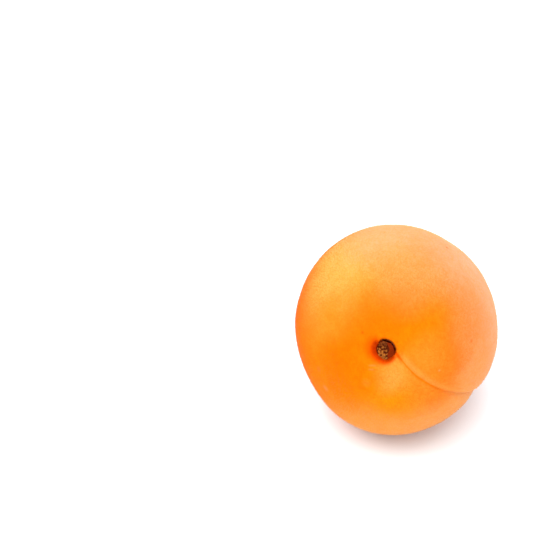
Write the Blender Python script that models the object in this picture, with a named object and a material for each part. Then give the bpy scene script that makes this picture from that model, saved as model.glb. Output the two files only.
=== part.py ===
"""An apricot lying on a small flat spot, with the dried stub of its stem in the pit.

World frame: metres, +Z up. The origin is the middle of the flat spot that the fruit rests
on, below its weight. The stem end looks towards -Y and somewhat upwards.

Fruit frame, in which both pieces are shaped: the centre of the fruit is the origin, +Z
leaves through the stem pit, the suture runs along the +X side from the pit to the tip, and
the two cheeks are at +Y and -Y.
"""
from math import acos, atan2, cos, exp, hypot, pi, radians, sin, tan
from random import Random

import bmesh
import bpy
from mathutils import Matrix, Vector

MM = 0.001

# Body: half sizes of the plain ellipsoid that everything else is added to.
STEM_HALF = 27.3 * MM
TIP_HALF = 26.6 * MM
SUTURE_HALF = 25.4 * MM
BACK_HALF = 24.8 * MM
CHEEK_HALF = 25.2 * MM

# Uneven growth: angle from the stem axis, angle around it from the suture, share of the
# radius that is added, and the angle over which it fades.
SWELLINGS = (
    (radians(99), radians(149), 0.036, radians(40)),
    (radians(80), radians(-122), -0.023, radians(28)),
    (radians(76), radians(-63), 0.051, radians(34)),
)

# Stem pit: a wide soft dip with a steep funnel in its middle.
DIP_DEPTH = 1.9 * MM
DIP_RADIUS = 9.0 * MM
PIT_DEPTH = 4.0 * MM
PIT_FLOOR_RADIUS = 2.2 * MM
PIT_RIM_RADIUS = 3.6 * MM

# Tip: a small dimple at the far end of the suture.
TIP_DEPTH = 1.0 * MM
TIP_RADIUS = 3.2 * MM

# Suture: a fine crease at the stem end that opens into a valley towards the tip.
CREASE_OPENS = (radians(25), radians(125))
CREASE_DEPTH = (0.7 * MM, 2.2 * MM)
CREASE_WIDTH = (0.8 * MM, 3.3 * MM)
CREASE_ROUND = 0.3 * MM
CREASE_BOW = 1.6 * MM
CREASE_FADE = (3.5 * MM, 11.0 * MM)

# The full lobe, at +Y of the crease, stands a little over the other one.
LOBE_OPENS = (radians(25), radians(80))
LOBE_RISE = 0.8 * MM
LOBE_EDGE = 1.0 * MM
LOBE_SPREAD = 5.0 * MM

# Lie of the fruit: how far the stem axis looks up, how far the suture is rolled around it,
# and how much of the round underside the flat spot takes away.
STEM_ELEVATION = radians(26.6)
SUTURE_ROLL = radians(-26.5)
FLAT_DEPTH = 0.7 * MM

# Stem stub: it stands on the floor of the pit, a little off its middle. Its end is flared
# and broken off at a slant, with knobs of dry wood on the lower side of the break.
CLEARANCE = 0.3 * MM
STUB_OFFSET = 0.9 * MM
STUB_OFFSET_TOWARDS = radians(104)
STUB_LENGTH = 4.2 * MM
STUB_FOOT_RADIUS = 1.2 * MM
STUB_END_RADIUS = 2.6 * MM
STUB_FLARE = (0.3, 1.0)
CROWN_HEIGHT = 0.5 * MM
CROWN_POWER = 4
STUB_RIBS = 7
STUB_RIB_HEIGHT = 0.05
BREAK_SLANT = radians(18)
BREAK_TOWARDS = radians(-150)
BREAK_EDGE = (-1.3 * MM, -0.3 * MM)
KNOB_COUNT = 13
KNOB_HEIGHT = 0.5 * MM
KNOB_RADIUS = 0.55 * MM
KNOB_REACH = 0.9
KNOB_SIZES = (0.7, 1.15)
KNOB_STRAY = 0.3
KNOB_SEED = 5

# Mesh fineness, and how much closer the lines stand at the suture and at the two ends.
FRUIT_COLUMNS = 72
FRUIT_ROWS = 56
SUTURE_CROWDING = 0.7
END_CROWDING = 0.7
STUB_COLUMNS = 28
STUB_ROWS = 22

# How the rows of the stub's sphere are shared out: its two ends are filled by the time the
# sphere has opened to 1 / END_SHARE of its width, and its side takes 1 / SIDE_SHARE of its height.
END_SHARE = 1.5
SIDE_SHARE = 1.34

APRICOT_SKIN = (0.96, 0.29, 0.035, 1.0)
DRY_STEM = (0.17, 0.07, 0.025, 1.0)


def smooth_step(start, end, value):
    """Rise from 0 at start to 1 at end, level at both."""
    share = min(max((value - start) / (end - start), 0.0), 1.0)
    return share * share * (3.0 - 2.0 * share)


def blend(pair, share):
    """Value between the two of a pair."""
    return pair[0] + (pair[1] - pair[0]) * share


def direction(polar, around):
    """Unit vector at an angle from the stem axis and an angle around it."""
    return Vector((sin(polar) * cos(around), sin(polar) * sin(around), cos(polar)))


def swelling(outward):
    """Share of the radius that uneven growth adds in one direction."""
    total = 0.0
    for polar, around, share, fade in SWELLINGS:
        apart = outward.angle(direction(polar, around))
        total += share * exp(-((apart / fade) ** 2))
    return total


def suture_relief(polar, outwards, across):
    """Height of the skin near the suture, which is level with +X and has its full lobe at +Y."""
    across += CREASE_BOW * sin(2.0 * polar)
    reach = hypot(across, CREASE_ROUND) - CREASE_ROUND
    opening = smooth_step(*CREASE_OPENS, polar)
    crease = blend(CREASE_DEPTH, opening) * exp(-reach / blend(CREASE_WIDTH, opening))
    lobe = LOBE_RISE * smooth_step(*LOBE_OPENS, polar) * smooth_step(0.0, LOBE_EDGE, across)
    lobe *= exp(-max(across, 0.0) / LOBE_SPREAD)
    return smooth_step(0.0, blend(CREASE_FADE, opening), outwards) * (lobe - crease)


def end_relief(radius, polar):
    """Height of the skin, along the stem axis, in the stem pit and in the dimple at the tip."""
    if polar < pi / 2:
        dip = DIP_DEPTH * exp(-((radius / DIP_RADIUS) ** 2))
        pit = PIT_DEPTH * (1.0 - smooth_step(PIT_FLOOR_RADIUS, PIT_RIM_RADIUS, radius))
        return -dip - pit
    return TIP_DEPTH * exp(-((radius / TIP_RADIUS) ** 2))


def skin_point(polar, around):
    """Point of the fruit's skin, in the fruit frame."""
    outward = direction(polar, around)
    lateral = SUTURE_HALF if cos(around) > 0 else BACK_HALF
    axial = STEM_HALF if polar < pi / 2 else TIP_HALF
    point = Vector((lateral * outward.x, CHEEK_HALF * outward.y, axial * outward.z))
    heading = point.normalized()
    point *= 1.0 + swelling(heading)
    point += heading * suture_relief(polar, point.x, point.y)
    point.z += end_relief(hypot(point.x, point.y), polar)
    return point


def crowded(turn, crowding, repeats):
    """Angle whose steps are shorter by the crowding at every end of a repeat."""
    return turn - crowding * sin(repeats * turn) / repeats


def shape_sphere(name, columns, rows, place):
    """Mesh object made from a sphere whose points are moved by place(polar, around)."""
    shell = bmesh.new()
    bmesh.ops.create_uvsphere(shell, u_segments=columns, v_segments=rows, radius=1.0)
    for vert in shell.verts:
        polar = acos(min(max(vert.co.z, -1.0), 1.0))
        vert.co = place(polar, atan2(vert.co.y, vert.co.x))
    mesh = bpy.data.meshes.new(name)
    shell.to_mesh(mesh)
    shell.free()
    piece = bpy.data.objects.new(name, mesh)
    bpy.context.collection.objects.link(piece)
    return piece


def lie_matrix():
    """Turn from the fruit frame to the world frame."""
    roll = Matrix.Rotation(SUTURE_ROLL, 4, "Z")
    lay_down = Matrix.Rotation(pi / 2 - STEM_ELEVATION, 4, "X")
    return lay_down @ roll


def principled(name, colour, roughness):
    """Plain material of one colour."""
    material = bpy.data.materials.new(name)
    material.use_nodes = True
    shader = material.node_tree.nodes["Principled BSDF"]
    shader.inputs["Base Color"].default_value = colour
    shader.inputs["Roughness"].default_value = roughness
    shader.inputs["Metallic"].default_value = 0.0
    return material


def press_flat(piece, height):
    """Cut the underside level at a height, close it with one flat face, and return its middle."""
    shell = bmesh.new()
    shell.from_mesh(piece.data)
    everything = shell.verts[:] + shell.edges[:] + shell.faces[:]
    cut = bmesh.ops.bisect_plane(
        shell, geom=everything, plane_co=(0, 0, height), plane_no=(0, 0, 1), clear_inner=True
    )
    rim = [item for item in cut["geom_cut"] if isinstance(item, bmesh.types.BMEdge)]
    for vert in {vert for edge in rim for vert in edge.verts}:
        vert.co.z = height
    flat = bmesh.ops.contextual_create(shell, geom=rim)["faces"][0]
    bmesh.ops.recalc_face_normals(shell, faces=shell.faces)
    middle = flat.calc_center_median_weighted()
    shell.to_mesh(piece.data)
    shell.free()
    return middle


def make_fruit():
    """Whole fruit: skin, flesh and all in one solid, with its pit, suture and tip dimple."""

    def place(polar, around):
        return skin_point(crowded(polar, END_CROWDING, 2), crowded(around, SUTURE_CROWDING, 1))

    fruit = shape_sphere("fruit", FRUIT_COLUMNS, FRUIT_ROWS, place)
    fruit.data.materials.append(principled("apricot_skin", APRICOT_SKIN, 0.6))
    return fruit


def knob_places():
    """Middles of the knobs on the stub's broken end, spread out by a seeded draw."""
    draw = Random(KNOB_SEED)
    golden_turn = pi * (3.0 - 5.0 ** 0.5)
    places = []
    for index in range(KNOB_COUNT):
        distance = KNOB_REACH * STUB_END_RADIUS * ((index + 0.5) / KNOB_COUNT) ** 0.5
        angle = index * golden_turn + draw.uniform(-KNOB_STRAY, KNOB_STRAY)
        size = draw.uniform(*KNOB_SIZES)
        places.append((distance * cos(angle), distance * sin(angle), size))
    return places


def make_stub():
    """Dried stub of the stem: ribbed, and flared towards its rough slanting break."""
    knobs = knob_places()
    slant_way = direction(pi / 2, BREAK_TOWARDS)
    stand = direction(pi / 2, STUB_OFFSET_TOWARDS) * STUB_OFFSET
    stand.z = skin_point(0.0, 0.0).z + CLEARANCE

    def knob_height(point):
        height = 0.0
        for knob_x, knob_y, size in knobs:
            apart = hypot(point.x - knob_x, point.y - knob_y) / (KNOB_RADIUS * size)
            height = max(height, KNOB_HEIGHT * size * exp(-apart * apart))
        return height * smooth_step(*BREAK_EDGE, point.dot(slant_way))

    def place(polar, around):
        across = min(1.0, END_SHARE * sin(polar))
        along = min(max(0.5 + 0.5 * SIDE_SHARE * cos(polar), 0.0), 1.0)
        radius = across * blend((STUB_FOOT_RADIUS, STUB_END_RADIUS), smooth_step(*STUB_FLARE, along))
        radius *= 1.0 + STUB_RIB_HEIGHT * cos(STUB_RIBS * around) * across
        point = radius * direction(pi / 2, around)
        slope = tan(BREAK_SLANT) * point.dot(slant_way)
        point.z = along * (STUB_LENGTH - slope)
        if along >= 1.0:
            crown = 1.0 - across ** CROWN_POWER
            point.z += crown * (CROWN_HEIGHT + knob_height(point))
        return point + stand

    stub = shape_sphere("stem", STUB_COLUMNS, STUB_ROWS, place)
    stub.data.materials.append(principled("dry_stem", DRY_STEM, 0.9))
    return stub


def main():
    for old in list(bpy.data.objects):
        bpy.data.objects.remove(old, do_unlink=True)
    fruit = make_fruit()
    stub = make_stub()
    lie = lie_matrix()
    for piece in (fruit, stub):
        piece.data.transform(lie)
    lowest = min(vert.co.z for vert in fruit.data.vertices)
    rest_spot = press_flat(fruit, lowest + FLAT_DEPTH)
    for piece in (fruit, stub):
        piece.data.transform(Matrix.Translation(-rest_spot))
        piece.data.shade_smooth()


main()
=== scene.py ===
"""The looks of the apricot: downy skin with its suture, the stem pit, and the dried stub.

Sizes are in metres. The fruit frame has its origin in the middle of the fruit, +Z out
through the stem pit, and the suture along its +X side. An angle called polar is measured
from the stem axis, and one called around is measured round that axis from the suture.
"""
from math import cos, pi, radians, sin

import bpy
import numpy as np
from mathutils import Matrix, Vector


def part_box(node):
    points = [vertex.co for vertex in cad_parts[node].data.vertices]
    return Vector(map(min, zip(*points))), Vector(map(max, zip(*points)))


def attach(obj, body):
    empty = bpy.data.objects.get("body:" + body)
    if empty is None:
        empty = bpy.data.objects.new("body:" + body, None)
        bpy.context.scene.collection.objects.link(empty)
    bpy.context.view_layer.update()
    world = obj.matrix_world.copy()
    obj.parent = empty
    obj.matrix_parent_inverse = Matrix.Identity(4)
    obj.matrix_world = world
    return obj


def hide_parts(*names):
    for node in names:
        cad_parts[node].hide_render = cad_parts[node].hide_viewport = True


MM = 0.001

# Lie of the fruit, as in the solids, and its middle from the low corner of the solid's box.
STEM_ELEVATION = radians(26.6)
SUTURE_ROLL = radians(-26.5)
MIDDLE_FROM_LOW_CORNER = Vector((24.853, 26.722, 25.067)) * MM

# Camera: the angle it looks from, and where the fruit lies in its view.
CAMERA_ELEVATION = radians(38)
CAMERA_AZIMUTH = radians(11.57)
CAMERA_LENS = 100.0
CAMERA_NEAR_LIMIT = 0.01
FRUIT_IN_VIEW = Vector((32.0, -15.23, -370.0)) * MM

# Studio: a white room, one large softbox over the fruit and a pale floor.
ROOM_BRIGHTNESS = 1.27
SOFTBOX_PLACE = (-0.14, -0.18, 0.60)
SOFTBOX_SIZE = 0.7
SOFTBOX_POWER = 6.0
FLOOR_SIZE = 6.0
FLOOR_TONE = (0.80, 0.86, 0.90, 1)

# Main form of the fruit, as in the solids.
STEM_HALF = 27.3 * MM
TIP_HALF = 26.6 * MM
SUTURE_HALF = 25.4 * MM
BACK_HALF = 24.8 * MM
CHEEK_HALF = 25.2 * MM
DIP_DEPTH = 1.9 * MM
DIP_RADIUS = 9.0 * MM
TIP_DEPTH = 1.0 * MM
TIP_RADIUS = 3.2 * MM

# Swellings of the body: polar and around angle in degrees, share of the radius that is
# added, and the angle over which it fades.
SWELLINGS = ((99, 149, 0.036, 40), (80, -122, -0.023, 28), (76, -63, 0.051, 34))

# Suture: its bow, the hook at the pit, and how it opens from the stem to the tip.
CREASE_BOW = 1.6 * MM
CREASE_HOOK = 1.8 * MM
CREASE_HOOK_FADE = radians(15)
CREASE_HOOK_STARTS = (radians(2), radians(6))
CREASE_OPENS = (radians(25), radians(125))
CREASE_DEPTH = (0.45 * MM, 2.2 * MM)
CREASE_WIDTH = (0.8 * MM, 3.3 * MM)
CREASE_ROUND = 0.12 * MM
CREASE_FADE = (3.5 * MM, 11.0 * MM)

# The full lobe that overhangs the suture, and a painted highlight along its edge: across the
# suture the highlight rises and falls again, and it starts some way out from the stem axis.
LOBE_OPENS = (radians(25), radians(80))
LOBE_RISE = 0.8 * MM
LOBE_EDGE = 1.0 * MM
LOBE_SPREAD = 5.0 * MM
HIGHLIGHT_RISES = (0.1 * MM, 0.6 * MM)
HIGHLIGHT_FALLS = (0.8 * MM, 2.5 * MM)
HIGHLIGHT_STARTS = (3.0 * MM, 6.0 * MM)

# Painted shade along the line of the suture, which fades out on the way to the tip.
LINE_WIDTH = 0.2 * MM
LINE_FADES = (radians(30), radians(50))

# Stem pit: a steep well, with a crisp rim on one side and a soft funnel on the other.
WELL_MIDDLE = (-0.15 * MM, 0.28 * MM)
WELL_DEPTH = 4.0 * MM
WELL_FLOOR_RADIUS = 1.3 * MM
WELL_RIM_RADIUS = (2.08 * MM, 3.25 * MM)
FUNNEL_DEPTH = (0.7 * MM, 1.3 * MM)
FUNNEL_FLOOR_RADIUS = 2.0 * MM
FUNNEL_RIM_RADIUS = (4.0 * MM, 5.6 * MM)
FUNNEL_TOWARDS = radians(205)
CRISP_TOWARDS = radians(82)
CRISP_SPREAD = (0.50, 0.84)
LIP_HEIGHT = 0.2 * MM
LIP_WIDTH = 0.8 * MM
LIP_PAST_RIM = 0.4 * MM
PUCKERS = 11
PUCKER_HEIGHT = 0.03 * MM
PUCKER_REACH = 1.2 * MM
PUCKER_DRIFT = 2.0

# Painted shade of the pit, deep red as if lit by light bounced inside it: round the stub, and in a
# wedge that runs out along the suture.
STUB_RING_SHADE = (2.5 * MM, 3.7 * MM)
WEDGE_WIDTH = 0.6 * MM
WEDGE_STARTS = (0.0, 2.0 * MM)
WEDGE_REACH = (2.9 * MM, 5.6 * MM)
WEDGE_STRENGTH = 0.9

# Small pale arcs rubbed on the skin by the pit: place in the fruit frame and half length, in
# mm, then how they are turned and bent.
SCUFFS = ((-0.52, -4.3, 0.85), (-0.22, -5.25, 0.62))
SCUFF_TURN = radians(33)
SCUFF_WIDTH = 0.24 * MM
SCUFF_BOW = 60.0

# Uneven growth of the flesh: height and size of its swells.
GROWTH = ((0.20 * MM, 12.0 * MM), (0.05 * MM, 4.0 * MM))

# Fineness of the skin, and how much closer its lines stand at the suture and the ends.
SKIN_COLUMNS = 320
SKIN_ROWS = 256
SUTURE_CROWDING = 0.8
SUTURE_PULL_POWER = 3
END_CROWDING = 0.72

# Values that are kept for each point of the skin.
SKIN_VALUES = ("in_pit", "flush", "round_stub", "scuff", "on_suture", "lobe_edge", "down")

# Stub: it leans in the pit, broken across on the left of a ridge and smooth on the right.
STUB_COLUMNS = 160
STUB_ROWS = 128
STUB_FOOT = Vector((0.0, 0.3, 21.8)) * MM
STUB_TOP = Vector((0.14, 0.72, 26.2)) * MM
STUB_LENGTH = 4.4 * MM
STUB_RADIUS = 2.25 * MM
STUB_TURN = radians(32.7)

# Outline of the stub from the middle of its top to that of its foot: share of its radius and
# of its length. The rows of points above the corner take half of all rows.
STUB_PROFILE = (
    (0.0, 1.0), (0.5, 1.0), (0.86, 0.99), (0.97, 0.965), (1.0, 0.92), (0.99, 0.86),
    (0.9, 0.7), (0.72, 0.45), (0.58, 0.2), (0.5, 0.04), (0.44, 0.0), (0.0, 0.0),
)
STUB_CORNER = 3
STUB_TOP_ROWS = 0.5

# Uneven girth of the stub: waves round it with their height and start, two sides that are
# slimmer with how much and how wide, and fine ribs down its flank.
STUB_WAVES = ((3, 0.035, 1), (5, 0.025, 2))
STUB_SLIMMER = ((radians(40), 0.13, 0.2), (radians(-32), 0.09, 0.5))
STUB_RIBS = 13
STUB_RIB_HEIGHT = 0.035 * MM
STUB_RIB_STARTS = (0.5, 1.0)

# Top of the stub: the wavy ridge, how steeply it falls on both sides of it, and where the
# broken part starts along the stub and across the ridge.
STUB_RIDGE = 0.45 * MM
STUB_RIDGE_ROUND = 0.3 * MM
STUB_RIDGE_WAVE = 0.25 * MM
STUB_RIDGE_WAVE_LENGTH = 0.45 * MM
STUB_RIDGE_WAVE_START = 0.8
STUB_BREAK_SLOPE = 0.5
STUB_SHOULDER_SLOPE = 0.55
STUB_END_STARTS = (0.62, 0.88)
STUB_BREAK_EDGE = (-0.1 * MM, 0.35 * MM)

# Corky knobs of the break: height, how their outlines wander, how steep their sides and
# holes are, and for each its place across and up, radius, and depth of the hole in it.
KNOB_HEIGHT = 0.34 * MM
KNOB_WANDER = 0.09 * MM
KNOB_WANDER_ACROSS = (0.21 * MM, 1.0)
KNOB_WANDER_UP = (0.19 * MM, 2.0)
KNOB_SIDE = 1.15
KNOB_HOLE = 0.38
KNOBS = (
    (-1.13, -1.20, 0.58, 1.7), (0.13, -0.05, 0.27, 0.0), (-0.80, 0.62, 0.33, 0.0),
    (-1.72, -0.55, 0.34, 0.0), (-0.95, -0.42, 0.30, 0.0), (-0.34, -1.10, 0.33, 0.0),
    (-0.55, -1.95, 0.42, 1.1), (-1.85, -1.45, 0.26, 0.0), (-1.32, -2.05, 0.26, 0.0),
    (0.10, -1.75, 0.24, 0.0), (-1.48, 0.12, 0.26, 0.0), (-2.08, 0.10, 0.22, 0.0),
    (-0.62, 1.85, 0.34, 0.0), (-1.30, 1.45, 0.42, 1.0), (-0.05, 1.40, 0.34, 1.2),
    (-1.78, 0.90, 0.18, 0.0), (-0.20, 0.72, 0.17, 0.0), (0.22, -0.85, 0.22, 0.0),
    (-0.42, -0.10, 0.15, 0.0), (-0.92, 1.12, 0.16, 0.0), (-1.52, 2.02, 0.20, 0.0),
    (0.10, 2.05, 0.24, 0.0),
)

# Down: short fine hairs all over the skin, in pieces of about equal number. They thin out
# down the pit and close to the floor. The seeds are added to that of the piece.
DOWN_PIECES = 2
DOWN_HAIRS_TO_AREA = 5.8 / MM**2
DOWN_LENGTH = (0.20 * MM, 0.40 * MM)
DOWN_WIDTH = 0.024 * MM
DOWN_ROOT = 0.03 * MM
DOWN_LEAN = 0.5
DOWN_STRAY = 0.35
DOWN_STRAY_SEED = 10
DOWN_LENGTH_SEED = 20
DOWN_INTO_PIT = (0.1, 0.4)
DOWN_OFF_FLOOR = (0.5 * MM, 1.4 * MM)

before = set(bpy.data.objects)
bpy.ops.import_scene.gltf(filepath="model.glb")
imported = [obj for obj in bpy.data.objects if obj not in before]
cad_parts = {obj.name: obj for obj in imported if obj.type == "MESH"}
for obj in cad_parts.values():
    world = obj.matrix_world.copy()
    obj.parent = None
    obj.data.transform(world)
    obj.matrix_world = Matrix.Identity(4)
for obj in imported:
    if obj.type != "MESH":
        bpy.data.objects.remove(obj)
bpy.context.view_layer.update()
bpy.ops.object.select_all(action="DESELECT")

FRUIT_MIDDLE = Vector(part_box("fruit")[0]) + MIDDLE_FROM_LOW_CORNER
LIE = (
    Matrix.Translation(FRUIT_MIDDLE)
    @ Matrix.Rotation(pi / 2 - STEM_ELEVATION, 4, "X")
    @ Matrix.Rotation(SUTURE_ROLL, 4, "Z")
)


# ---------------------------------------------------------------- helpers


def smooth_step(start, end, value):
    """Rise from 0 at start to 1 at end, level at both."""
    share = np.clip((value - start) / (end - start), 0.0, 1.0)
    return share * share * (3.0 - 2.0 * share)


def soft_rise(value, round_off):
    """Zero below zero and equal to the value above it, rounded at the bend."""
    return 0.5 * (value + np.hypot(value, round_off)) - 0.5 * round_off


def blend(pair, share):
    """Value between the two of a pair."""
    return pair[0] + (pair[1] - pair[0]) * share


def heading_of(polar, around):
    """Way from the middle of the fruit at these angles, of length 1."""
    return np.array((np.sin(polar) * np.cos(around), np.sin(polar) * np.sin(around), np.cos(polar)))


def to_world(points):
    """Points of the fruit frame, moved to where the fruit lies."""
    return points @ np.array(LIE.to_3x3()).T + np.array(FRUIT_MIDDLE)


def read_points(piece):
    """Places of all points of a piece, one in each row."""
    points = np.empty(len(piece.data.vertices) * 3)
    piece.data.vertices.foreach_get("co", points)
    return points.reshape(-1, 3)


def write_points(piece, points):
    """Move the points of a piece to new places."""
    piece.data.vertices.foreach_set("co", points.ravel())
    piece.data.update()


def keep_value(piece, name, values):
    """Store a value for each point, for the materials and the down to read."""
    layer = piece.data.attributes.new(name, "FLOAT", "POINT")
    layer.data.foreach_set("value", values.astype(np.float32))


def settle_faces(piece):
    """Put the faces in a fixed order, because a new ball or cone has another one each time."""
    points = read_points(piece)
    faces = []
    for face in piece.data.polygons:
        corners = list(face.vertices)
        first = corners.index(min(corners))
        faces.append(corners[first:] + corners[:first])
    piece.data.clear_geometry()
    piece.data.from_pydata(points, [], sorted(faces))


def add_ball(name, columns, rows):
    """Ball to be shaped, with the angle of each point from its pole and round it."""
    bpy.ops.mesh.primitive_uv_sphere_add(segments=columns, ring_count=rows, radius=1.0)
    ball = bpy.context.object
    ball.name = name
    ball.data.name = name
    settle_faces(ball)
    points = read_points(ball)
    polar = np.arccos(np.clip(points[:, 2], -1.0, 1.0))
    return ball, polar, np.arctan2(points[:, 1], points[:, 0])


def add_node(tree, kind, *inputs, out=0, **settings):
    """New node with its settings and inputs, as values or as what feeds them."""
    made = tree.nodes.new(kind)
    for key, value in settings.items():
        setattr(made, key, value)
    for name, value in inputs:
        if isinstance(value, bpy.types.NodeSocket):
            tree.links.new(value, made.inputs[name])
        else:
            made.inputs[name].default_value = value
    return made.outputs[out]


# ---------------------------------------------------------------- skin and flesh


def crease_offset(polar):
    """Distance of the suture's line from the plane through the stem, towards the full lobe."""
    hook = CREASE_HOOK * np.exp(-((polar / CREASE_HOOK_FADE) ** 2))
    return hook * smooth_step(*CREASE_HOOK_STARTS, polar) - CREASE_BOW * np.sin(2 * polar)


def crowd_lines(polar, around):
    """Draw the lines of the ball closer at its ends and along the suture."""
    polar = polar - END_CROWDING * np.sin(2 * polar) / 2
    around = around - SUTURE_CROWDING * np.sin(around)
    near_suture = ((1 + np.cos(around)) / 2) ** SUTURE_PULL_POWER
    # The two limits keep the turn finite at the ends of the ball.
    sideways = crease_offset(polar) / (CHEEK_HALF * np.maximum(np.sin(polar), 0.01))
    return polar, around + near_suture * np.arcsin(np.clip(sideways, -0.9, 0.9))


def plain_body(polar, around):
    """Body of the fruit with its swellings, and the way outwards at each point."""
    lateral = np.where(np.cos(around) > 0, SUTURE_HALF, BACK_HALF)
    axial = np.where(polar < pi / 2, STEM_HALF, TIP_HALF)
    body = heading_of(polar, around).T * np.column_stack((lateral, lateral, axial))
    body[:, 1] *= CHEEK_HALF / lateral
    heading = body / np.linalg.norm(body, axis=1)[:, None]
    swelling = np.zeros(len(body))
    for at_polar, at_around, share, fade in SWELLINGS:
        centre = heading_of(radians(at_polar), radians(at_around))
        apart = np.arccos(np.clip(heading @ centre, -1, 1))
        swelling += share * np.exp(-((apart / radians(fade)) ** 2))
    return body * (1 + swelling[:, None]), heading


def suture_relief(polar, outwards, across):
    """Height of the skin near the suture, and how near to its line each point is."""
    opening = smooth_step(*CREASE_OPENS, polar)
    reach = np.hypot(across, CREASE_ROUND) - CREASE_ROUND
    crease = blend(CREASE_DEPTH, opening) * np.exp(-reach / blend(CREASE_WIDTH, opening))
    lobe = LOBE_RISE * smooth_step(*LOBE_OPENS, polar) * smooth_step(0.0, LOBE_EDGE, across)
    lobe *= np.exp(-np.maximum(across, 0.0) / LOBE_SPREAD)
    shown = smooth_step(0.0, blend(CREASE_FADE, opening), outwards)
    return shown * (lobe - crease), shown * np.exp(-((across / LINE_WIDTH) ** 2))


def pit_relief(x, y):
    """Depth of the stem pit, where its walls get painted shade, and how near to the stub each point
    is, for a ring of painted shade.
    """
    x = x - WELL_MIDDLE[0]
    y = y - WELL_MIDDLE[1]
    radius = np.hypot(x, y)
    around = np.arctan2(y, x)
    crisp = smooth_step(*CRISP_SPREAD, 0.5 + 0.5 * np.cos(around - CRISP_TOWARDS))
    wider = 0.5 + 0.5 * np.cos(around - FUNNEL_TOWARDS)
    slope = 1.0 - smooth_step(FUNNEL_FLOOR_RADIUS, blend(FUNNEL_RIM_RADIUS, wider), radius)
    funnel = blend(FUNNEL_DEPTH, wider) * (1 - crisp) * slope
    rim = blend(WELL_RIM_RADIUS, crisp)
    well = (WELL_DEPTH - funnel) * (1.0 - smooth_step(WELL_FLOOR_RADIUS, rim, radius))
    past_rim = (radius - rim - LIP_PAST_RIM) / LIP_WIDTH
    lip = LIP_HEIGHT * crisp * np.exp(-(past_rim**2))
    pucker = PUCKER_HEIGHT * np.cos(PUCKERS * around + PUCKER_DRIFT * np.sin(2 * around))
    pucker *= np.exp(-(((radius - rim) / PUCKER_REACH) ** 2))
    # Ring of painted shade round the stub, on the side of the soft funnel.
    round_stub = (1 - smooth_step(*STUB_RING_SHADE, radius)) * (1 - crisp)
    return funnel + well - lip - pucker, slope * (1 - crisp), round_stub


def scuff_marks(x, y):
    """How much each point is on one of the small arcs by the pit."""
    marks = np.zeros(len(x))
    for at_x, at_y, half in SCUFFS:
        along = (x - at_x * MM) * cos(SCUFF_TURN) + (y - at_y * MM) * sin(SCUFF_TURN)
        aside = (y - at_y * MM) * cos(SCUFF_TURN) - (x - at_x * MM) * sin(SCUFF_TURN)
        aside += SCUFF_BOW * along**2
        mark = np.exp(-((along / (half * MM)) ** 4) - (aside / SCUFF_WIDTH) ** 2)
        marks = np.maximum(marks, mark)
    return marks


def add_growth(piece, name, height, size):
    """Slow swells and hollows of the flesh."""
    texture = bpy.data.textures.new(name, "CLOUDS")
    texture.noise_scale = size
    texture.noise_depth = 1
    swell = piece.modifiers.new(name, "DISPLACE")
    swell.texture = texture
    swell.texture_coords = "GLOBAL"
    swell.strength = height * 2
    swell.mid_level = 0.5
    bpy.ops.object.modifier_apply(modifier=swell.name)


def make_skin():
    """Ball drawn out to the fruit, with a column of points along the line of the suture."""
    skin, polar, around = add_ball("apricot_flesh_and_skin", SKIN_COLUMNS, SKIN_ROWS)
    polar, around = crowd_lines(polar, around)
    local, heading = plain_body(polar, around)
    across = local[:, 1] - crease_offset(polar)
    relief, on_suture = suture_relief(polar, local[:, 0], across)
    local += heading * relief[:, None]

    radius = np.hypot(local[:, 0], local[:, 1])
    dip = DIP_DEPTH * np.exp(-((radius / DIP_RADIUS) ** 2))
    pit, flush, round_stub = pit_relief(local[:, 0], local[:, 1])
    tip = TIP_DEPTH * np.exp(-((radius / TIP_RADIUS) ** 2))
    stem_side = polar < pi / 2
    local[:, 2] += np.where(stem_side, -dip - pit, tip)

    write_points(skin, to_world(local))
    for number, (height, size) in enumerate(GROWTH):
        add_growth(skin, f"growth_{number + 1}", height, size)
    points = read_points(skin)
    points[:, 2] = np.maximum(points[:, 2], 0.0)
    write_points(skin, points)

    # Painted shade of the pit walls, spread also into a wedge along the suture by the stub.
    wedge = np.exp(-((across / WEDGE_WIDTH) ** 2)) * smooth_step(*WEDGE_STARTS, local[:, 0])
    wedge *= 1 - smooth_step(*WEDGE_REACH, radius)
    flush = np.maximum(flush, WEDGE_STRENGTH * wedge)
    # Painted highlight along the edge of the full lobe, where it overhangs the suture.
    lobe_edge = smooth_step(*HIGHLIGHT_RISES, across) * (1 - smooth_step(*HIGHLIGHT_FALLS, across))
    lobe_edge *= smooth_step(*HIGHLIGHT_STARTS, local[:, 0])
    in_pit = np.where(stem_side, np.clip(pit / WELL_DEPTH, 0.0, 1.0), 0.0)
    off_floor = smooth_step(*DOWN_OFF_FLOOR, points[:, 2])
    values = (
        in_pit,
        np.where(stem_side, flush, 0.0),
        np.where(stem_side, round_stub, 0.0),
        np.where(stem_side, scuff_marks(local[:, 0], local[:, 1]), 0.0),
        # Painted shade along the suture's line.
        on_suture * (1 - smooth_step(*LINE_FADES, polar)),
        lobe_edge,
        (1 - smooth_step(*DOWN_INTO_PIT, in_pit)) * off_floor,
    )
    for name, value in zip(SKIN_VALUES, values):
        keep_value(skin, name, value)
    bpy.ops.object.shade_smooth()
    return skin


# ---------------------------------------------------------------- stub


def knob_relief(across, up):
    """Height of the corky knobs of the break, from 0 between them to 1 on their tops."""
    wave, start = KNOB_WANDER_ACROSS
    across = across + KNOB_WANDER * np.sin(up / wave + start)
    wave, start = KNOB_WANDER_UP
    up = up + KNOB_WANDER * np.sin(across / wave + start)
    height = np.zeros(len(across))
    for knob_across, knob_up, radius, hole in KNOBS:
        apart = np.hypot(across - knob_across * MM, up - knob_up * MM) / (radius * MM)
        knob = np.exp(-((apart / KNOB_SIDE) ** 4)) - hole * np.exp(-((apart / KNOB_HOLE) ** 2))
        height = np.where((knob > height) | ((hole > 0) & (apart < 1)), knob, height)
    return height


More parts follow.
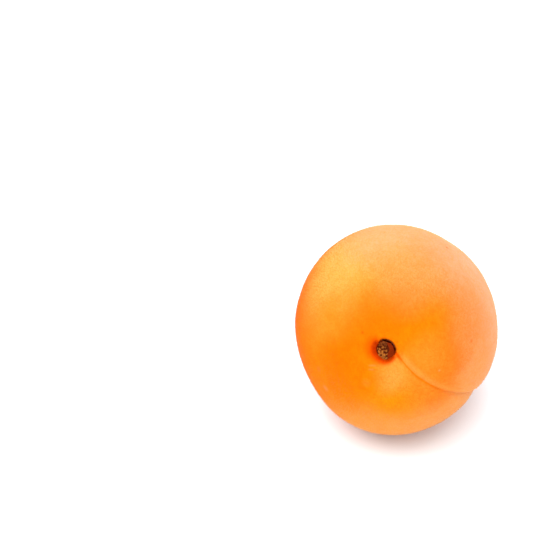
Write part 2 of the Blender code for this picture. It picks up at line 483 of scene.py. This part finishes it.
def stub_outline(share):
    """Width and height of the stub at a share of the way from its top to its foot."""
    widths, heights = np.array(STUB_PROFILE).T
    lengths = np.hypot(np.diff(widths) * STUB_RADIUS, np.diff(heights) * STUB_LENGTH)
    steps = np.concatenate(([0.0], np.cumsum(lengths)))
    steps = np.interp(steps, (0.0, steps[STUB_CORNER], steps[-1]), (0.0, STUB_TOP_ROWS, 1.0))
    return np.interp(share, steps, widths), np.interp(share, steps, heights)


def make_stub():
    """Ball drawn out to a short stalk, with a slanted knobbly break and a smooth shoulder."""
    stub, polar, around = add_ball("stem_stub", STUB_COLUMNS, STUB_ROWS)
    width, height = stub_outline(polar / pi)
    uneven = 1
    for waves, wave_height, start in STUB_WAVES:
        uneven = uneven + wave_height * np.cos(waves * around + start)
    for towards, slimmer, starts in STUB_SLIMMER:
        uneven -= slimmer * smooth_step(starts, 1.0, np.cos(around - towards))
    radius = STUB_RADIUS * width * uneven
    radius += STUB_RIB_HEIGHT * np.cos(STUB_RIBS * around) * smooth_step(*STUB_RIB_STARTS, width)
    across = radius * np.cos(around)
    up = radius * np.sin(around)

    wave = STUB_RIDGE_WAVE * np.sin(up / STUB_RIDGE_WAVE_LENGTH + STUB_RIDGE_WAVE_START)
    past_ridge = across - STUB_RIDGE - wave
    drop = STUB_BREAK_SLOPE * soft_rise(-past_ridge, STUB_RIDGE_ROUND)
    drop += STUB_SHOULDER_SLOPE * soft_rise(past_ridge, STUB_RIDGE_ROUND)
    on_end = smooth_step(*STUB_END_STARTS, height)
    broken = on_end * (1 - smooth_step(*STUB_BREAK_EDGE, past_ridge))
    knobs = knob_relief(across, up)
    rise = -drop * height**2 + KNOB_HEIGHT * (knobs - 0.5) * broken

    turned = np.column_stack((
        across * cos(STUB_TURN) - up * sin(STUB_TURN),
        across * sin(STUB_TURN) + up * cos(STUB_TURN),
        rise,
    ))
    axis = np.array(STUB_FOOT) + height[:, None] * np.array(STUB_TOP - STUB_FOOT)
    write_points(stub, to_world(turned + axis))
    keep_value(stub, "broken", broken)
    keep_value(stub, "knob", knobs)
    bpy.ops.object.shade_smooth()
    return stub


# ---------------------------------------------------------------- down


def make_hair():
    """One hair: a closed spike of four faces, with its root just under the skin."""
    length = DOWN_LENGTH[1]
    place = (0, 0, length / 2 - DOWN_ROOT)
    bpy.ops.mesh.primitive_cone_add(vertices=3, radius1=DOWN_WIDTH, depth=length, location=place)
    hair = bpy.context.object
    hair.name = "hair"
    bpy.ops.object.transform_apply(location=True)
    settle_faces(hair)
    return hair


def scatter_group(name, hair, seed):
    """Node group that puts a hair on random places of the skin, leaning towards the tip."""
    group = bpy.data.node_groups.new(name, "GeometryNodeTree")
    group.interface.new_socket("Geometry", in_out="INPUT", socket_type="NodeSocketGeometry")
    group.interface.new_socket("Geometry", in_out="OUTPUT", socket_type="NodeSocketGeometry")
    skin = add_node(group, "NodeGroupInput")

    amount = add_node(group, "GeometryNodeInputNamedAttribute", ("Name", "down"), out="Attribute")
    density = add_node(
        group, "ShaderNodeMath", (0, amount), (1, DOWN_HAIRS_TO_AREA), operation="MULTIPLY",
    )
    places = add_node(
        group, "GeometryNodeDistributePointsOnFaces", ("Mesh", skin), ("Density", density),
        ("Seed", seed), out="Points",
    )

    to_tip = LIE.to_3x3() @ Vector((0, 0, -DOWN_LEAN))
    way = add_node(
        group, "ShaderNodeVectorMath", (0, places.node.outputs["Normal"]), (1, to_tip),
        operation="ADD",
    )
    stray = add_node(
        group, "FunctionNodeRandomValue", (0, (-DOWN_STRAY,) * 3), (1, (DOWN_STRAY,) * 3),
        ("Seed", seed + DOWN_STRAY_SEED), data_type="FLOAT_VECTOR",
    )
    way = add_node(group, "ShaderNodeVectorMath", (0, way), (1, stray), operation="ADD")
    turn = add_node(group, "FunctionNodeAlignRotationToVector", ("Vector", way), axis="Z")

    shortest = DOWN_LENGTH[0] / DOWN_LENGTH[1]
    length = add_node(
        group, "FunctionNodeRandomValue", (2, shortest), (3, 1.0),
        ("Seed", seed + DOWN_LENGTH_SEED), out=1, data_type="FLOAT",
    )
    size = add_node(group, "ShaderNodeCombineXYZ", ("X", 1.0), ("Y", 1.0), ("Z", length))
    model = add_node(group, "GeometryNodeObjectInfo", ("Object", hair), out="Geometry")
    planted = add_node(
        group, "GeometryNodeInstanceOnPoints", ("Points", places), ("Instance", model),
        ("Rotation", turn), ("Scale", size),
    )
    real = add_node(group, "GeometryNodeRealizeInstances", ("Geometry", planted))
    group.links.new(real, group.nodes.new("NodeGroupOutput").inputs[0])
    return group


def make_down(skin, name, hair, seed):
    """Hairs scattered over a copy of the skin, which they take the place of."""
    bpy.ops.object.select_all(action="DESELECT")
    skin.select_set(True)
    bpy.context.view_layer.objects.active = skin
    bpy.ops.object.duplicate()
    down = bpy.context.object
    down.name = name
    down.data.name = name
    down.data.materials.clear()
    scatter = down.modifiers.new("scatter", "NODES")
    scatter.node_group = scatter_group(name, hair, seed)
    bpy.ops.object.modifier_apply(modifier=scatter.name)
    for value in SKIN_VALUES:
        if value in down.data.attributes:
            down.data.attributes.remove(down.data.attributes[value])
    return down


# ---------------------------------------------------------------- finishes


class Finish:
    """A material under construction: its nodes, its links and its shader."""

    def __init__(self, name):
        self.material = bpy.data.materials.new(name)
        self.material.use_nodes = True
        self.tree = self.material.node_tree
        self.shader = self.tree.nodes["Principled BSDF"]

    def set(self, **values):
        """Plain values of the shader, with their names in lower case."""
        for socket in self.shader.inputs:
            key = socket.name.lower().replace(" ", "_")
            if key in values:
                socket.default_value = values[key]

    def node(self, kind, *inputs, **settings):
        return add_node(self.tree, kind, *inputs, **settings)

    def math(self, operation, first, second):
        return self.node("ShaderNodeMath", (0, first), (1, second), operation=operation)

    def vector(self, operation, first, second, out=0):
        return self.node(
            "ShaderNodeVectorMath", (0, first), (1, second), out=out, operation=operation,
        )

    def ramp(self, value, start, end, low=0.0, high=1.0):
        """Soft rise from low at start to high at end."""
        return self.node(
            "ShaderNodeMapRange", ("Value", value), ("From Min", start), ("From Max", end),
            ("To Min", low), ("To Max", high), interpolation_type="SMOOTHSTEP",
        )

    def noise(self, place, size, detail=2.0, roughness=0.5, out="Fac"):
        return self.node(
            "ShaderNodeTexNoise", ("Vector", place), ("Scale", 1 / size), ("Detail", detail),
            ("Roughness", roughness), out=out,
        )

    def mix(self, share, first, second, blend_type="MIX", label=""):
        return self.node(
            "ShaderNodeMix", (0, share), (6, first), (7, second), out=2,
            data_type="RGBA", blend_type=blend_type, label=label,
        )

    def attribute(self, name):
        return self.node("ShaderNodeAttribute", out="Fac", attribute_name=name)

    def fruit_place(self):
        """Place on the fruit, in the fruit frame."""
        place = self.node("ShaderNodeTexCoord", out="Object")
        inverse = LIE.inverted()
        return self.node(
            "ShaderNodeMapping", ("Vector", place), ("Location", inverse.translation),
            ("Rotation", inverse.to_euler("XYZ")),
        )

    def patch(self, colour, place, centre, reach, core, strength, tone, label=""):
        """Lay a round patch over a colour: full up to the core's share of its reach in mm."""
        apart = self.vector("DISTANCE", place, centre, out="Value")
        share = self.ramp(apart, reach * MM, reach * core * MM, 0.0, strength)
        return self.mix(share, colour, tone, label=label)

    def mark(self, colour, name, share, tone):
        """Tint a colour where a kept value is high: by a plain share, or in a soft rise."""
        value = self.attribute(name)
        if isinstance(share, tuple):
            value = self.ramp(value, *share)
        else:
            value = self.math("MULTIPLY", value, share)
        return self.mix(value, colour, tone, label=name)

    def paint(self, colour):
        """Lead a colour to the shader."""
        self.tree.links.new(colour, self.shader.inputs["Base Color"])

    def bump(self, height, distance):
        """Fine relief of the surface."""
        bumped = self.node("ShaderNodeBump", ("Height", height), ("Distance", distance))
        self.tree.links.new(bumped, self.shader.inputs["Normal"])


GROUND_ORANGE = (0.673, 0.154, 0.001, 1)

# Patches of the skin: mostly tones of its ripening. The paler patches at the rim on the suture
# side are painted sheen, and the peach cheek partly so; the deep patch on the far left cheek is
# painted shade. For each: name, polar and around angle in degrees, how far they reach in mm,
# how soft and how strong they are, and tone.
RIPENING = (
    ("golden_shoulder", 63, 161, 23.0, 0.9, 1.0, (0.681, 0.284, 0.063, 1)),
    ("golden_crown", 84, 122, 21.0, 0.8, 0.85, (0.681, 0.281, 0.145, 1)),
    ("peach_crown", 74, 80, 17.0, 0.9, 0.85, (0.681, 0.265, 0.147, 1)),
    ("peach_brow", 47, 102, 14.5, 0.9, 0.7, (0.681, 0.250, 0.086, 1)),
    # Peach cheek: the skin's tone, partly with painted sheen towards the rim.
    ("peach_and_sheen_cheek", 80, 40, 26.0, 0.8, 0.95, (0.673, 0.248, 0.097, 1)),
    # Painted sheen at the rim of the cheek.
    ("sheen_cheek", 95, 36, 19.0, 1.0, 0.95, (0.681, 0.376, 0.263, 1)),
    # Painted sheen at the rim of the temple.
    ("sheen_temple", 95, 74, 18.0, 1.0, 0.9, (0.681, 0.352, 0.244, 1)),
    ("peach_lobe", 58, 14, 14.0, 0.9, 0.9, (0.681, 0.277, 0.100, 1)),
    # Painted sheen at the rim by the end of the lobe.
    ("sheen_lobe_end", 86, -8, 15.5, 1.0, 0.95, (0.681, 0.370, 0.263, 1)),
    ("deep_tip", 150, 180, 26.0, 0.9, 0.5, (0.650, 0.108, 0.000, 1)),
    ("blush_back", 128, -150, 17.0, 1.0, 0.6, (0.620, 0.065, 0.001, 1)),
    ("peach_foot", 62, -36, 23.0, 0.8, 0.9, (0.673, 0.269, 0.074, 1)),
    ("peach_heel", 66, -68, 17.0, 0.9, 0.8, (0.673, 0.254, 0.045, 1)),
    ("deep_left", 17, 178, 8.0, 0.9, 0.6, (0.664, 0.125, 0.000, 1)),
    # Painted shade on the far left cheek.
    ("shaded_left_cheek", 85, -155, 22.5, 0.9, 1.0, (0.664, 0.086, 0.000, 1)),
    ("deep_lower_left", 27, -112, 8.5, 0.9, 0.6, (0.664, 0.124, 0.000, 1)),
    ("deep_by_pit", 25, -138, 8.5, 0.9, 0.6, (0.664, 0.113, 0.000, 1)),
    ("deep_above_pit", 22, 132, 9.0, 0.9, 0.6, (0.664, 0.118, 0.000, 1)),
    ("deep_below_brow", 27, 98, 7.5, 0.9, 0.4, (0.664, 0.118, 0.000, 1)),
    ("deep_by_suture", 34, 24, 7.5, 0.8, 0.65, (0.655, 0.136, 0.000, 1)),
    ("amber_brow", 31, 64, 7.0, 0.9, 0.5, (0.673, 0.160, 0.000, 1)),
    ("amber_shoulder", 36, -179, 6.0, 0.9, 0.5, (0.673, 0.158, 0.000, 1)),
    ("amber_foot", 39, -13, 8.0, 0.9, 0.6, (0.673, 0.150, 0.000, 1)),
    ("yellow_under_pit", 29, -48, 10.0, 0.9, 0.9, (0.673, 0.204, 0.000, 1)),
    ("pale_under_pit", 15, -34, 6.4, 0.9, 0.9, (0.681, 0.248, 0.042, 1)),
    ("pale_lobe", 23, 21, 9.0, 0.9, 0.75, (0.681, 0.210, 0.021, 1)),
)

# How the patches wander from round: size and reach of the drift.
DRIFT_SIZE = 11 * MM
DRIFT_REACH = 6 * MM

# Fine speckle of the skin: size in mm and the tint that darkens it.
SPECKLE = ((2.2, (0.99, 0.92, 0.82, 1)), (0.55, (0.99, 0.92, 0.72, 1)))
SPECKLE_RISE = (0.35, 0.65)

# Single freckles: place in the fruit frame and reach in mm, strength and tone.
FRECKLES = (
    (-0.34, 24.91, 4.38, 0.70, 0.8, (0.62, 0.100, 0.020, 1)),
    (15.95, 11.65, 17.09, 0.65, 0.8, (0.65, 0.125, 0.020, 1)),
    (-6.70, 1.05, 25.19, 0.60, 0.9, (0.56, 0.080, 0.001, 1)),
    (13.20, 2.90, 22.94, 0.45, 0.5, (0.70, 0.260, 0.090, 1)),
    (-10.39, -13.93, 19.52, 1.10, 0.5, (0.68, 0.120, 0.020, 1)),
    (-6.45, -17.28, 18.52, 1.30, 0.5, (0.69, 0.190, 0.070, 1)),
    (0.63, -8.78, 24.91, 1.60, 0.3, (0.69, 0.200, 0.020, 1)),
)
FRECKLE_CORE = 0.2

# Marks of the skin in the order they are laid on: the kept value, the share of it that
# shows or where its soft rise starts and ends, and tone. Only the scuffs are marks of the skin
# itself; the rest paint a highlight along the lobe edge, and shade in the suture, on the pit
# walls, round the stub and down the pit.
SKIN_MARKS = (
    ("scuff", 0.3, (0.690, 0.240, 0.070, 1)),
    # Painted highlight along the edge of the full lobe.
    ("lobe_edge", 0.4, (0.690, 0.266, 0.053, 1)),
    # Painted shade along the suture's line.
    ("on_suture", 0.85, (0.600, 0.142, 0.000, 1)),
    # Painted shade of the pit walls, deep red as by light bounced inside the pit.
    ("flush", (0.0, 0.85), (0.690, 0.076, 0.000, 1)),
    # Ring of painted shade round the stub.
    ("round_stub", 0.5, (0.450, 0.022, 0.000, 1)),
    # Painted shade, darker the deeper down the pit.
    ("in_pit", (0.17, 0.36), (0.330, 0.018, 0.000, 1)),
    ("in_pit", (0.45, 0.9), (0.230, 0.010, 0.000, 1)),
)
SKIN_GRAIN_SIZE = 0.35 * MM
SKIN_GRAIN_HEIGHT = 0.05 * MM


def apricot_skin():
    """Soft ripe skin: patches from deep orange to peach, with a velvet edge, painted sheen at the
    rim, a painted highlight along the lobe edge, and painted shade on the far left cheek, in the
    suture and in the pit.
    """
    finish = Finish("apricot_skin")
    finish.set(
        roughness=0.6, ior=1.4, specular_ior_level=0.01, subsurface_weight=0.2,
        subsurface_radius=(1.0, 0.4, 0.12), subsurface_scale=2.0 * MM,
        sheen_weight=0.12, sheen_roughness=0.18, sheen_tint=(1.0, 0.86, 0.76, 1),
    )
    place = finish.fruit_place()
    drift = finish.noise(place, DRIFT_SIZE, detail=0.5, out="Color")
    drift = finish.vector("SUBTRACT", drift, (0.5, 0.5, 0.5))
    drift = finish.node(
        "ShaderNodeVectorMath", (0, drift), ("Scale", DRIFT_REACH), operation="SCALE",
    )
    drifted = finish.vector("ADD", place, drift)
    colour = GROUND_ORANGE
    for label, polar, around, reach, softness, strength, tone in RIPENING:
        centre = heading_of(radians(polar), radians(around)) * SUTURE_HALF
        colour = finish.patch(
            colour, drifted, centre, reach, 1 - softness, strength, tone, label,
        )
    for size, tint in SPECKLE:
        mottle = finish.noise(place, size * MM, detail=4.0, roughness=0.6)
        mottle = finish.ramp(mottle, *SPECKLE_RISE)
        colour = finish.mix(mottle, colour, tint, blend_type="MULTIPLY")
    for x, y, z, reach, strength, tone in FRECKLES:
        centre = Vector((x, y, z)) * MM
        colour = finish.patch(colour, place, centre, reach, FRECKLE_CORE, strength, tone)
    for name, share, tone in SKIN_MARKS:
        colour = finish.mark(colour, name, share, tone)
    finish.paint(colour)
    finish.bump(finish.noise(place, SKIN_GRAIN_SIZE, detail=3.0), SKIN_GRAIN_HEIGHT)
    return finish.material


# Down: its two tones, and where it is deep orange, by polar and around angle in degrees and
# reach in mm: by the pit, and on the far left cheek as painted shade.
DOWN_TONES = ((0.681, 0.266, 0.060, 1), (0.690, 0.385, 0.210, 1))
DOWN_TONE_SIZE = 1.5 * MM
DEEP_DOWN = ((12, 60, 27), (82, -156, 34))
DEEP_DOWN_CORE = 0.5
DEEP_DOWN_TONE = (0.664, 0.113, 0.000, 1)


def apricot_down():
    """Fine down that takes up the tone of the skin below it."""
    finish = Finish("apricot_down")
    finish.set(roughness=0.7, specular_ior_level=0.02)
    place = finish.fruit_place()
    colour = finish.mix(finish.noise(place, DOWN_TONE_SIZE), *DOWN_TONES)
    for polar, around, reach in DEEP_DOWN:
        centre = heading_of(radians(polar), radians(around)) * SUTURE_HALF
        colour = finish.patch(
            colour, place, centre, reach, DEEP_DOWN_CORE, 1.0, DEEP_DOWN_TONE,
        )
    finish.paint(colour)
    return finish.material


# Bark on the flank and the shoulder of the stub: its two tones, and fibres drawn out along
# the stub.
BARK_TONES = ((0.089, 0.005, 0.000, 1), (0.212, 0.021, 0.001, 1))
FIBRE_STRETCH = (1.0, 1.0, 0.15)
FIBRE_SIZE = 0.22 * MM

# Cork of the break: tones from the gaps up to the tops of the knobs and how they change with
# height, the middle of the pale side with its reach and its uneven edge, and how soon the
# cork takes over from the bark.
CORK_GAP = (0.018, 0.002, 0.000, 1)
CORK_SIDE = (0.080, 0.009, 0.001, 1)
CORK_TOPS = ((0.120, 0.028, 0.005, 1), (0.270, 0.082, 0.012, 1))
CORK_GRAIN_SIZE = 0.3 * MM
CORK_ROUGHNESS = 0.9
CORK_SIDE_RISE = (0.1, 1.0)
CORK_GAP_FALL = (0.2, -0.3)
PALE_CORK = STUB_TOP + Vector((-0.3, -1.6, -0.6)) * MM
PALE_CORK_REACH = (2.9 * MM, 0.9 * MM)
PALE_CORK_EDGE = 0.9 * MM
PALE_CORK_RISE = (0.4, 1.5)
BREAK_RISE = (0.3, 0.8)
STUB_GRAIN_HEIGHT = 0.06 * MM


def dry_stem():
    """Dry brown stalk: fibrous bark, and knobbly cork where it is broken."""
    finish = Finish("dry_stem")
    finish.set(roughness=0.75, specular_ior_level=0.02)
    place = finish.fruit_place()
    grain = finish.noise(place, CORK_GRAIN_SIZE, detail=4.0, roughness=0.65)
    fibre = finish.node("ShaderNodeMapping", ("Vector", place), ("Scale", FIBRE_STRETCH))
    fibre = finish.noise(fibre, FIBRE_SIZE, detail=3.0)
    bark = finish.mix(fibre, *BARK_TONES)

    pale_side = finish.ramp(
        finish.vector("DISTANCE", place, PALE_CORK, out="Value"), *PALE_CORK_REACH,
    )
    pale_side = finish.math("ADD", pale_side, finish.noise(place, PALE_CORK_EDGE, detail=1.0))
    tops = finish.mix(finish.ramp(pale_side, *PALE_CORK_RISE), *CORK_TOPS)
    rough = finish.math("MULTIPLY", finish.math("SUBTRACT", grain, 0.5), CORK_ROUGHNESS)
    knob = finish.math("ADD", finish.attribute("knob"), rough)
    cork = finish.mix(finish.ramp(knob, *CORK_SIDE_RISE), CORK_SIDE, tops)
    cork = finish.mix(finish.ramp(knob, *CORK_GAP_FALL), cork, CORK_GAP)
    broken = finish.ramp(finish.attribute("broken"), *BREAK_RISE)
    finish.paint(finish.mix(broken, bark, cork))
    finish.bump(finish.math("ADD", grain, fibre), STUB_GRAIN_HEIGHT)
    return finish.material


def wear(piece, material):
    """Give a piece its finish, and tie it to the body."""
    piece.data.materials.clear()
    piece.data.materials.append(material)
    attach(piece, "root")


# ---------------------------------------------------------------- studio


def add_camera():
    """Camera that looks down on the stem side of the fruit."""
    away = Vector((
        sin(CAMERA_AZIMUTH) * cos(CAMERA_ELEVATION),
        -cos(CAMERA_AZIMUTH) * cos(CAMERA_ELEVATION),
        sin(CAMERA_ELEVATION),
    ))
    turn = away.to_track_quat("Z", "Y").to_matrix().to_4x4()
    data = bpy.data.cameras.new("camera")
    data.lens = CAMERA_LENS
    data.clip_start = CAMERA_NEAR_LIMIT
    camera = bpy.data.objects.new("camera", data)
    bpy.context.collection.objects.link(camera)
    camera.matrix_world = Matrix.Translation(FRUIT_MIDDLE - turn @ FRUIT_IN_VIEW) @ turn
    bpy.context.scene.camera = camera


def add_floor():
    """Plain pale floor that the fruit lies on."""
    bpy.ops.mesh.primitive_plane_add(size=FLOOR_SIZE, location=(0, 0, 0))
    floor = bpy.context.object
    floor.name = "floor"
    finish = Finish("pale_floor")
    finish.set(base_color=FLOOR_TONE, roughness=0.6, specular_ior_level=0.2)
    floor.data.materials.append(finish.material)


def add_softbox():
    """Square light that looks at the fruit."""
    data = bpy.data.lights.new("top_softbox", "AREA")
    data.size = SOFTBOX_SIZE
    data.energy = SOFTBOX_POWER
    light = bpy.data.objects.new("top_softbox", data)
    bpy.context.collection.objects.link(light)
    light.location = SOFTBOX_PLACE
    light.rotation_euler = (light.location - FRUIT_MIDDLE).to_track_quat("Z", "Y").to_euler()


def light_studio():
    """White room and softbox, with plain display colours."""
    world = bpy.data.worlds.new("studio")
    world.use_nodes = True
    background = world.node_tree.nodes["Background"]
    background.inputs["Color"].default_value = (1, 1, 1, 1)
    background.inputs["Strength"].default_value = ROOM_BRIGHTNESS
    bpy.context.scene.world = world
    add_softbox()
    bpy.context.scene.view_settings.view_transform = "Standard"


# ---------------------------------------------------------------- scene

add_camera()
skin = make_skin()
stub = make_stub()
hair = make_hair()
down_finish = apricot_down()
for number in range(DOWN_PIECES):
    down = make_down(skin, f"skin_down_{number + 1}", hair, seed=number + 1)
    wear(down, down_finish)
bpy.data.objects.remove(hair)
wear(skin, apricot_skin())
wear(stub, dry_stem())
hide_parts("fruit")
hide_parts("stem")
add_floor()
light_studio()
